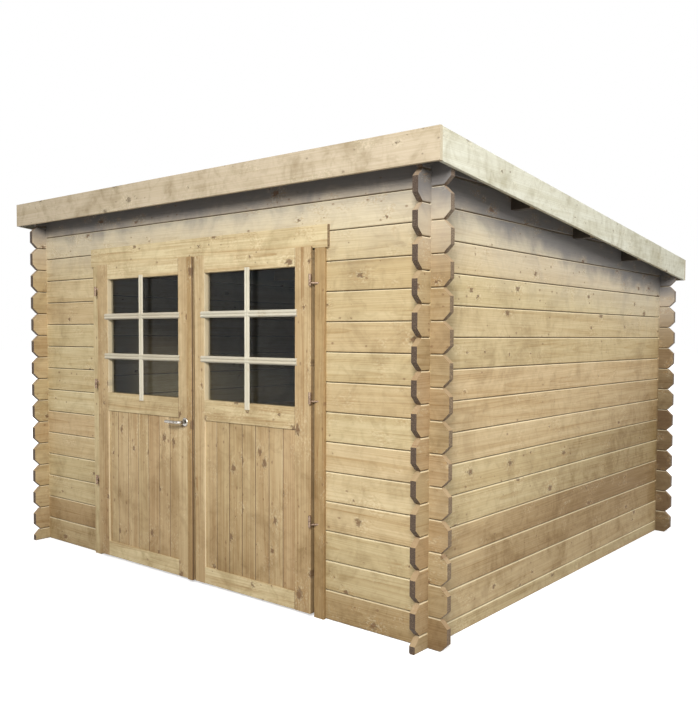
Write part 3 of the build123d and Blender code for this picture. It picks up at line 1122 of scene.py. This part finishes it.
    def rear(self) -> None:
        """Builds the low wall at the back."""
        spread = (Way.X, Way.Z)
        near = HALF_DEPTH - self.thickness
        ceiling = roof_level(HALF_DEPTH, DECK_UNDERSIDE)
        end = self.tongue_end(HALF_WIDTH)
        stack = Stack(21)
        rng = random.Random(6)
        for course in range(self.rear_courses):
            low, high = course * self.cover, (course + 1) * self.cover
            outline = self.board_outline(HALF_WIDTH, low, high, False, rng)
            self.lay_board(stack, self.clipped(outline, 0.0, 1.0, ceiling), spread, near)
            if course:
                self.lay_tongue(stack, spread, near, -end, end, low)
        self.lay_slip(stack, spread, near, self.rear_courses, ceiling)
        settle(stack.piece("rear_wall_boards", self.finish), "root", "wall_wood", "rear_wall")

    def side(self, side: Side) -> None:
        """Builds a side wall, which starts with a half board and slopes with the roof.

        Args:
            side: Which side.
        """
        spread = (Way.Y, Way.Z)
        near = HALF_WIDTH - self.thickness if side is Side.RIGHT else -HALF_WIDTH
        ceiling = roof_level(0.0, DECK_UNDERSIDE)
        end = self.tongue_end(HALF_DEPTH)
        stack = Stack(31 + side.value)
        rng = random.Random(7 + side.value)
        for course in range(self.side_courses + 1):
            low = max(0.0, (course - 0.5) * self.cover)
            high = (course + 0.5) * self.cover
            outline = self.board_outline(HALF_DEPTH, low, high, course == 0, rng)
            self.lay_board(stack, self.clipped(outline, ROOF_SLOPE, 1.0, ceiling), spread, near)
            reach = (ceiling - low - self.tongue) / ROOF_SLOPE
            if course and reach > -end:
                self.lay_tongue(stack, spread, near, -end, min(end, reach), low)
        name = f"{side.name.lower()}_wall"
        settle(stack.piece(f"{name}_boards", self.finish), "root", "wall_wood", name)

    def build(self) -> None:
        """Builds all four walls."""
        self.front()
        self.rear()
        for side in Side:
            self.side(side)


@dataclass
class Doorway:
    """Frame round the doors: a head, two grooved posts and the battens that the leaves close on."""

    finish: Material
    face: float = -1381.0
    wall_face: float = -1365.0
    wall_back: float = -1337.0
    back: float = -1321.0
    inner: float = 839.0
    outer: float = 898.0
    head_overrun: float = 17.0
    head_bottom: float = 1683.0
    head_top: float = 1785.0
    bevel: float = 1.5

    def head(self) -> None:
        """Builds the head, whose outer board is longer than the frame is wide."""
        stack = Stack(41)
        for half, near, far, top in (
            (self.outer + self.head_overrun, self.face, self.wall_face, self.head_top),
            (OPENING_HALF, self.wall_face, self.wall_back, HEAD_GROOVE),
            (self.outer, self.wall_back, self.back, self.head_top),
        ):
            low, high = [-half, near, self.head_bottom], [half, far, top]
            stack.lay(box_timber(low, high, Way.X, bevel=self.bevel, **looks(0.1, 0.05, 0.35)))
        settle(stack.piece("door_head_boards", self.finish), "root", "door_wood", "door_head")

    def post(self, side: Side) -> None:
        """Builds a post, grooved for the ends of the wall boards.

        Args:
            side: Which side of the doorway.
        """
        stack = Stack(43 + side.value)
        # The left post takes a paler tone than the right: painted light against the shadow its leaf casts on
        # it.
        wood = looks(1.0, 0.3, 0.6) if side is Side.RIGHT else looks(0.3, 0.0, 0.6)
        for reach, near, far in (
            (self.outer, self.face, self.wall_face),
            (OPENING_HALF, self.wall_face, self.wall_back),
            (self.outer, self.wall_back, self.back),
        ):
            left, right = sorted((side.value * self.inner, side.value * reach))
            low, high = [left, near, 0.0], [right, far, self.head_bottom]
            stack.lay(box_timber(low, high, Way.Z, bevel=self.bevel, **wood))
        name = f"door_jamb_{side.name.lower()}"
        settle(stack.piece(f"{name}_post", self.finish), "root", "door_wood", name)

    def battens(self) -> None:
        """Builds the battens inside the frame."""
        for seed, (where, grain) in enumerate((("left", Way.Z), ("right", Way.Z), ("head", Way.X)), 46):
            name = f"door_stop_{where}"
            stack = Stack(seed)
            stack.lay(box_timber(*node_box(name), grain, bevel=self.bevel))
            settle(stack.piece(f"{name}_batten", self.finish), "root", "door_wood", name)

    def build(self) -> None:
        """Builds the whole frame."""
        self.head()
        for side in Side:
            self.post(side)
        self.battens()


@dataclass
class DoorLeaf:
    """One door leaf: stiles, rails, a boarded foot, a pane and the bars over it."""

    side: Side
    finish: Material
    bar_finish: Material
    glass: Material
    bevel: float = 1.8
    leaf_top: float = 1675.0
    lip_thickness: float = 11.0
    panel_boards: int = 7
    panel_bevel: float = 3.0
    panel_gap: float = 0.8
    panel_tongue: tuple[float, float] = (3.0, 2.0)
    bar_width: float = 33.0
    bar_thickness: float = 9.0
    bar_least: float = 2.0
    bar_steps: int = 16
    bar_laps: tuple[float, float, float, float] = (21.0, 17.0, 30.0, 12.0)
    bar_heights: tuple[float, float] = (1168.0, 1393.0)
    strip_edge: float = 5.0

    @property
    def body(self) -> str:
        """Name of the leaf's body."""
        return f"{self.side.name.lower()}_door"

    def section(self, low: list[float], high: list[float]) -> tuple[Point, ...]:
        """Draws a stile or rail seen from its side, with the lip where it reaches the top of the leaf.

        Args:
            low: Lowest corner of its box.
            high: Highest corner of its box.

        Returns:
            Points (to the back, up), once round.
        """
        if high[2] < self.leaf_top + 1.0:
            return rectangle(low[1], low[2], high[1], high[2])
        back = low[1] + self.lip_thickness
        foot = ((low[1], low[2]), (high[1], low[2]), (high[1], self.leaf_top))
        return foot + ((back, self.leaf_top), (back, high[2]), (low[1], high[2]))

    def joinery(self) -> None:
        """Builds the stiles, with painted shade on the leaf's outer edges and painted light on their inner
        ones, and the rails.
        """
        for number, (part, grain, wood, shaded_edge) in enumerate(
            (
                ("lock_stile", Way.Z, looks(0.3, 0.35, 0.7), -self.side.value),
                ("hinge_stile", Way.Z, looks(0.55, 0.4, 0.9), self.side.value),
                ("bottom_rail", Way.X, looks(0.0, 0.1, 0.4), 0),
                ("middle_rail", Way.X, looks(0.3, 0.1, 0.6), 0),
                ("top_rail", Way.X, looks(0.0, 0.1, 0.3), 0),
            )
        ):
            node = f"{self.body}_{part}"
            low, high = node_box(node)
            stack = Stack(60 + 20 * self.side.value + number)
            cut = (self.section(low, high), (Way.Y, Way.Z), low[0], high[0], grain, self.bevel)
            stack.lay(Timber(*cut, painted_shade_side=shaded_edge, **wood))
            settle(stack.piece(f"{node}_timber", self.finish), self.body, "door_wood", node)

    def panel(self) -> None:
        """Builds the upright boards of the foot, with a V at each joint."""
        node = f"{self.body}_panel"
        low, high = node_box(node)
        pitch = (high[0] - low[0]) / self.panel_boards
        middle = (low[1] + high[1]) / 2
        aside, thick = self.panel_tongue
        stack = Stack(90 + self.side.value)
        rng = random.Random(8 + self.side.value)
        for board in range(self.panel_boards):
            joint = low[0] + board * pitch
            start = [joint + self.panel_gap / 2, low[1], low[2]]
            end = [low[0] + (board + 1) * pitch - self.panel_gap / 2, high[1], high[2]]
            wood = looks(rng.uniform(0.3, 0.7), rng.uniform(0.25, 0.6), rng.uniform(0.5, 1.0))
            stack.lay(box_timber(start, end, Way.Z, bevel=self.panel_bevel, jointed=True, **wood))
            if board:
                start = [joint - aside, middle - thick, low[2]]
                end = [joint + aside, middle + thick, high[2]]
                stack.lay(box_timber(start, end, Way.Z, bevel=0, grooved=True))
        settle(stack.piece(f"{node}_boards", self.finish), self.body, "door_wood", node)

    def bar_profile(self) -> list[Point]:
        """Draws a bar's cross-section: two rounded ridges with a hollow between them.

        Returns:
            Points (across the bar, out from the leaf) from edge to edge.
        """
        half = self.bar_width / 2
        points = [(-half, 0.0)]
        for step in range(self.bar_steps + 1):
            part = step / self.bar_steps
            ridge = abs(math.sin(math.tau * part))
            shoulder = min(1.0, 6.0 * min(part, 1.0 - part))
            height = self.bar_thickness * (0.5 * shoulder + 0.5 * ridge**0.7)
            points.append((-half + self.bar_width * part, max(self.bar_least, height)))
        return points + [(half, 0.0)]

    def bar(self, stack: Stack, start: float, end: float, centre: float, grain: Way) -> None:
        """Lays one bar over the pane.

        Args:
            stack: Stack that gets it.
            start: Where it starts along its own length.
            end: Where it ends.
            centre: Place of its middle line, across its length.
            grain: Whether it lies or stands.
        """
        face = node_box(f"{self.body}_top_rail")[0][1]
        outline = tuple((centre + a, face - out) for a, out in self.bar_profile())
        spread = (Way.X, Way.Y)
        if grain is Way.X:
            outline, spread = tuple((y, z) for z, y in outline), (Way.Y, Way.Z)
        stack.lay(Timber(outline, spread, start, end, grain, bevel=0, knots=0.0))

    def bars(self) -> None:
        """Builds the bars that divide the pane in six."""
        lock, hinge = (node_box(f"{self.body}_{part}_stile") for part in ("lock", "hinge"))
        left, right = (lock[1][0], hinge[0][0]) if self.side is Side.RIGHT else (hinge[1][0], lock[0][0])
        low = node_box(f"{self.body}_middle_rail")[1][2]
        high = node_box(f"{self.body}_top_rail")[0][2]
        lap_left, lap_right, lap_foot, lap_head = self.bar_laps
        stack = Stack(100 + self.side.value)
        for height in self.bar_heights:
            self.bar(stack, left - lap_left, right + lap_right, height, Way.X)
        self.bar(stack, low - lap_foot, high + lap_head, (left + right) / 2, Way.Z)
        settle(stack.piece(f"{self.body}_glazing_bars", self.bar_finish), self.body, "door_wood")

    def strip(self) -> None:
        """Builds the cover strip of the left leaf's meeting edge."""
        node = f"{self.body}_cover_strip"
        (left, face, foot), (right, back, top) = node_box(node)
        edge = self.strip_edge
        outline = ((left, back), (left, face + edge), (left + edge, face))
        outline += ((right - edge, face), (right, face + edge), (right, back))
        # The strip is marked jointed, so its sides and chamfers darken as joints do: painted shade.
        wood = {"tone": 1.0, "pink": 0.3, "jointed": True}
        stack = Stack(110)
        stack.lay(Timber(outline, (Way.X, Way.Y), foot, top, Way.Z, bevel=0, **wood))
        settle(stack.piece(f"{node}_batten", self.finish), self.body, "door_wood", node)

    def build(self) -> None:
        """Builds the whole leaf."""
        self.joinery()
        self.panel()
        self.bars()
        dress(f"{self.body}_glass", self.glass)
        if self.side is Side.LEFT:
            self.strip()


@dataclass
class Roof:
    """Single-slope roof: edge boards, roof boards on three beams, and felt."""

    fascia: Material
    timber: Material
    felt: Material
    fascia_height: float = 134.0
    board_cover: float = 97.0
    board_gap: float = 0.8
    felt_sheets: int = 3
    felt_lap: float = 80.0
    felt_step: float = 10.0
    felt_thickness: float = 2.0
    arris: float = 1.5

    def edge_boards(self) -> None:
        """Builds the four edge boards."""
        for seed, (where, grain, wood) in enumerate(
            (
                ("front", Way.X, looks(1.0, 0.1, 0.7)),
                ("rear", Way.X, looks(0.8, 0.5, 0.6)),
                ("left", Way.Y, looks(0.1, 0.3, 0.8)),
                ("right", Way.Y, looks(0.0, 0.1, 1.0)),
            ),
            130,
        ):
            node = f"fascia_{where}"
            low, high = node_box(node)
            if grain is Way.X:
                board = box_timber(low, high, grain, bevel=self.arris, **wood)
            else:
                ends, sides = (low[1], high[1]), (low[0], high[0])
                board = self.sloping(ends, (0.0, self.fascia_height), sides, bevel=self.arris, **wood)
            stack = Stack(seed)
            stack.lay(board)
            settle(stack.piece(f"{node}_board", self.fascia), "root", "fascia_wood", node)

    def sloping(self, ends: Point, drops: Point, sides: Point, **traits: Any) -> Timber:
        """Makes a timber that follows the roof.

        Args:
            ends: Its front and rear end.
            drops: Drop of its upper side and its underside.
            sides: Its left and right side.
            **traits: Other fields of the timber.

        Returns:
            The timber.
        """
        (front, rear), (top, bottom) = ends, drops
        outline = ((front, roof_level(front, bottom)), (rear, roof_level(rear, bottom)))
        outline += ((rear, roof_level(rear, top)), (front, roof_level(front, top)))
        return Timber(outline, (Way.Y, Way.Z), *sides, Way.Y, slope=ROOF_SLOPE, **traits)

    def deck(self) -> None:
        """Builds the roof boards, which run down the slope."""
        stack = Stack(140)
        reach = ROOF_HALF_WIDTH - EDGE_BOARD
        depth = ROOF_HALF_DEPTH - EDGE_BOARD
        count = round(2 * reach / self.board_cover)
        cover = 2 * reach / count
        for board in range(count):
            left = -reach + board * cover
            sides = (left, left + cover - self.board_gap)
            stack.lay(self.sloping((-depth, depth), (DECK_TOP, DECK_UNDERSIDE), sides, jointed=True))
        settle(stack.piece("roof_deck_boards", self.timber), "root", "roof_wood", "roof_deck")

    def beams(self) -> None:
        """Builds the three beams under the roof boards."""
        for seed, where in enumerate(("front", "middle", "rear"), 150):
            name = f"purlin_{where}"
            (left, front, foot), (right, rear, _) = node_box(name)
            outline = ((front, foot), (rear, foot))
            outline += tuple((y, roof_level(y, DECK_UNDERSIDE)) for y in (rear, front))
            stack = Stack(seed)
            stack.lay(Timber(outline, (Way.Y, Way.Z), left, right, Way.X, bevel=self.arris))
            settle(stack.piece(f"{name}_beam", self.timber), "root", "roof_wood", name)

    def covering(self) -> None:
        """Builds the felt in overlapping sheets, each lapped over the next one down."""
        reach = ROOF_HALF_WIDTH - EDGE_BOARD
        depth = ROOF_HALF_DEPTH - EDGE_BOARD
        width = 2 * depth / self.felt_sheets
        stack = Stack(160)
        for sheet in range(self.felt_sheets):
            start = -depth + sheet * width
            end = min(depth, start + width + self.felt_lap)
            lift = self.felt_thickness if sheet < self.felt_sheets - 1 else 0.0
            outline = tuple(
                (y, roof_level(y, DECK_TOP - rise))
                for y, rise in (
                    (start, 0.0),
                    (end - self.felt_lap, 0.0),
                    (end - self.felt_lap + self.felt_step, lift),
                    (end, lift),
                    (end, lift + self.felt_thickness),
                    (start, self.felt_thickness),
                )
            )
            stack.lay(Timber(outline, (Way.Y, Way.Z), -reach, reach, Way.X, bevel=0))
        settle(stack.piece("roof_felt_sheets", self.felt), "root", "roof_felt", "roof_felt")

    def build(self) -> None:
        """Builds the whole roof."""
        self.edge_boards()
        self.deck()
        self.beams()
        self.covering()


@dataclass
class Ironwork:
    """Hinges, and the lever handle with its roses."""

    hinge: Material
    handle: Material
    axis_x: float = -46.0
    height: float = 837.0
    neck_radius: float = 9.0
    neck_taper: float = 0.4
    bend: float = 18.0
    standoff: float = 48.0
    length: float = 112.0
    clearance: float = 1.0
    grip_radius: float = 7.8
    grip_swell: float = 0.6
    tip_radius: float = 0.05
    bend_steps: int = 12
    grip_steps: int = 10
    tip_steps: int = 6
    ring_points: int = 24

    def path(self, face: float, outward: int) -> list[tuple[Vector, Vector, float]]:
        """Draws the middle line of a lever, from its neck round the bend to its tip.

        Args:
            face: Y of the leaf's face under the lever.
            outward: -1 outside, 1 inside.

        Returns:
            Place, direction and radius at each step, in millimetres.
        """
        out, inward = Vector((0, outward, 0)), Vector((-1, 0, 0))
        neck = Vector((self.axis_x, face + outward * self.clearance, self.height))
        turn = face + outward * (self.standoff - self.bend)
        centre = Vector((self.axis_x - self.bend, turn, self.height))
        steps = [(neck, out, self.neck_radius)]
        for step in range(self.bend_steps + 1):
            angle = math.radians(90.0 * step / self.bend_steps)
            spot = centre - inward * self.bend * math.cos(angle) + out * self.bend * math.sin(angle)
            way = out * math.cos(angle) + inward * math.sin(angle)
            steps.append((spot, way, self.neck_radius - self.neck_taper * step / self.bend_steps))
        bend_end = steps[-1][0]
        reach = self.length - self.grip_radius
        tip = Vector((self.axis_x - reach, face + outward * self.standoff, self.height))
        for step in range(1, self.grip_steps + 1):
            part = step / self.grip_steps
            swell = self.grip_swell * math.sin(math.pi * part)
            steps.append((bend_end.lerp(tip, part), inward, self.grip_radius + swell))
        for step in range(1, self.tip_steps + 1):
            angle = math.radians(90.0 * step / self.tip_steps)
            spot = tip + inward * self.grip_radius * math.sin(angle)
            steps.append((spot, inward, max(self.tip_radius, self.grip_radius * math.cos(angle))))
        return steps

    def lever(self, name: str, face: float, outward: int) -> None:
        """Builds one lever as a smooth bar of changing thickness.

        Args:
            name: Node that it stands for.
            face: Y of the leaf's face under the lever.
            outward: -1 outside, 1 inside.
        """
        up = Vector((0, 0, 1))
        count = self.ring_points
        steps = self.path(face, outward)
        points: list[Vector] = []
        for spot, way, radius in steps:
            aside = way.cross(up).normalized()
            for turn in range(count):
                angle = math.tau * turn / count
                reach = aside * math.cos(angle) + up * math.sin(angle)
                points.append((spot + reach * radius) * MM)
        faces = [
            [here + turn, here + (turn + 1) % count, here + count + (turn + 1) % count, here + count + turn]
            for here in range(0, (len(steps) - 1) * count, count)
            for turn in range(count)
        ]
        last = (len(steps) - 1) * count
        faces += [list(range(count)), [last + turn for turn in reversed(range(count))]]
        piece = new_piece(f"{name}_bar", points, faces, self.handle)
        shaped = bmesh.new()
        shaped.from_mesh(piece.data)
        bmesh.ops.recalc_face_normals(shaped, faces=shaped.faces)
        shaped.to_mesh(piece.data)
        shaped.free()
        piece.data.shade_smooth()
        settle(piece, "handle", "handle_steel", name)

    def build(self) -> None:
        """Dresses the hinges and roses and builds the levers."""
        for name in ("left_frame_hinges", "right_frame_hinges", "left_door_hinges", "right_door_hinges"):
            dress(name, self.hinge)
        for name in ("handle_roses", "handle_spindle"):
            dress(name, self.handle)
        low, high = node_box("left_door_lock_stile")
        self.lever("handle_lever_outer", low[1], -1)
        self.lever("handle_lever_inner", high[1], 1)


@dataclass(frozen=True)
class Lamp:
    """A square soft lamp that faces the shed. Sizes in metres, power in watts."""

    name: str
    place: tuple[float, float, float]
    size: float
    watts: float

    def hang(self) -> None:
        """Hangs the lamp."""
        data = bpy.data.lights.new(self.name, "AREA")
        data.shape = "SQUARE"
        data.size = self.size
        data.energy = self.watts
        made = bpy.data.objects.new(self.name, data)
        made.location = self.place
        aim = Vector((0.0, 0.0, 1.0)) - Vector(self.place)
        made.rotation_euler = aim.to_track_quat("-Z", "Y").to_euler()
        bpy.context.scene.collection.objects.link(made)


@dataclass
class Studio:
    """Pale floor, soft light and the camera at the photograph's place. Sizes in metres."""

    floor_half: float = 60.0
    floor_drop: float = 0.0005
    floor_seen: float = 0.85
    floor_unseen: float = 0.30
    eye: tuple[float, float, float] = (3.3153, -4.1455, 1.2892)
    turned: float = 39.43
    tilt: float = -2.5
    roll: float = 0.22
    lens: float = 42.11
    shift: float = 0.030
    sky: float = 0.3
    lamps: tuple[Lamp, ...] = (
        Lamp("key_lamp", (4.84, -7.70, 4.63), 2.6, 850.0),
        Lamp("fill_lamp", (7.95, -1.14, 5.59), 4.0, 300.0),
        Lamp("back_lamp", (-6.5, 7.5, 5.2), 4.0, 700.0),
    )

    def shown(self, tree: Tree) -> Socket:
        """Tells rays that show the background from rays that only bring its light.

        Args:
            tree: Node tree of the floor or the surroundings.

        Returns:
            1 for camera, glossy and transmission rays, otherwise 0.
        """
        light = add(tree, "LightPath")
        seen = light["Is Camera Ray"]
        for kind in ("Is Glossy Ray", "Is Transmission Ray"):
            seen = add(tree, "Math", {0: seen, 1: light[kind]}, operation="MAXIMUM")[0]
        return seen

    def floor(self) -> None:
        """Lays the floor: white where the camera sees it lit, brighter far off, plain grey to other light."""
        painter = Painter("studio_floor_paper")
        inputs = painter.shader.inputs
        inputs["Roughness"].default_value = 0.9
        inputs["Specular IOR Level"].default_value = 0.0
        inputs["Emission Color"].default_value = (1.0, 1.0, 1.0, 1.0)
        seen = self.shown(painter.tree)
        greys = {key: (grey, grey, grey, 1.0) for key, grey in ((6, self.floor_unseen), (7, self.floor_seen))}
        colour = painter.add("Mix", {0: seen} | greys, data_type="RGBA")[2]
        painter.tree.links.new(colour, inputs["Base Color"])
        away = painter.add("VectorMath", {0: painter.place}, operation="LENGTH")["Value"]
        glow = painter.ramp(away, 2.5, 6.0, 1.0, 0.5, smooth=False)
        glow = painter.add("Math", {0: seen, 1: glow}, operation="MULTIPLY")[0]
        painter.tree.links.new(glow, inputs["Emission Strength"])
        half, level = self.floor_half, -self.floor_drop
        points = [Vector((x, y, level)) for x, y in rectangle(-half, -half, half, half)]
        new_piece("studio_floor", points, [[0, 1, 2, 3]], painter.material)

    def world(self) -> None:
        """Surrounds the shed with plain pale light, white to the camera and in reflections."""
        world = bpy.data.worlds.new("studio_light")
        world.use_nodes = True
        bpy.context.scene.world = world
        tree = world.node_tree
        inputs = tree.nodes["Background"].inputs
        inputs["Color"].default_value = (1.0, 1.0, 1.0, 1.0)
        strength = add(tree, "MapRange", {0: self.shown(tree), 3: self.sky, 4: 1.0})[0]
        tree.links.new(strength, inputs["Strength"])

    def camera(self) -> None:
        """Puts the camera where the photograph was taken."""
        turned, tilt, roll = (math.radians(a) for a in (self.turned, self.tilt, self.roll))
        level = math.cos(tilt)
        forward = Vector((-math.sin(turned) * level, math.cos(turned) * level, math.sin(tilt)))
        aside = forward.cross(Vector((0, 0, 1))).normalized()
        right = aside * math.cos(roll) + aside.cross(forward) * math.sin(roll)
        turn = Matrix((right, right.cross(forward), -forward)).transposed()
        data = bpy.data.cameras.new("photo_camera")
        data.lens = self.lens
        data.shift_y = self.shift
        made = bpy.data.objects.new("photo_camera", data)
        made.matrix_world = Matrix.Translation(self.eye) @ turn.to_4x4()
        bpy.context.scene.collection.objects.link(made)
        bpy.context.scene.camera = made

    def build(self) -> None:
        """Sets up floor, light and camera."""
        bpy.context.scene.view_settings.view_transform = "Standard"
        self.floor()
        self.world()
        for lamp in self.lamps:
            lamp.hang()
        self.camera()


def main() -> None:
    """Builds the shed's sub-assemblies in order, then the studio round it."""
    logging.basicConfig(level=logging.INFO, format="%(message)s")
    wall_wood = WALL_WOOD.build()
    door_wood = DOOR_WOOD.build()
    bar_wood = BAR_WOOD.build()
    glass = WindowGlass().build()
    NotchedWalls(wall_wood).build()
    Doorway(door_wood).build()
    for side in Side:
        DoorLeaf(side, door_wood, bar_wood, glass).build()
    Roof(FASCIA_WOOD.build(), ROOF_WOOD.build(), Felt().build()).build()
    Ironwork(HINGE_STEEL.build(), HANDLE_STEEL.build()).build()
    Studio().build()


if __name__ == "__main__":
    main()
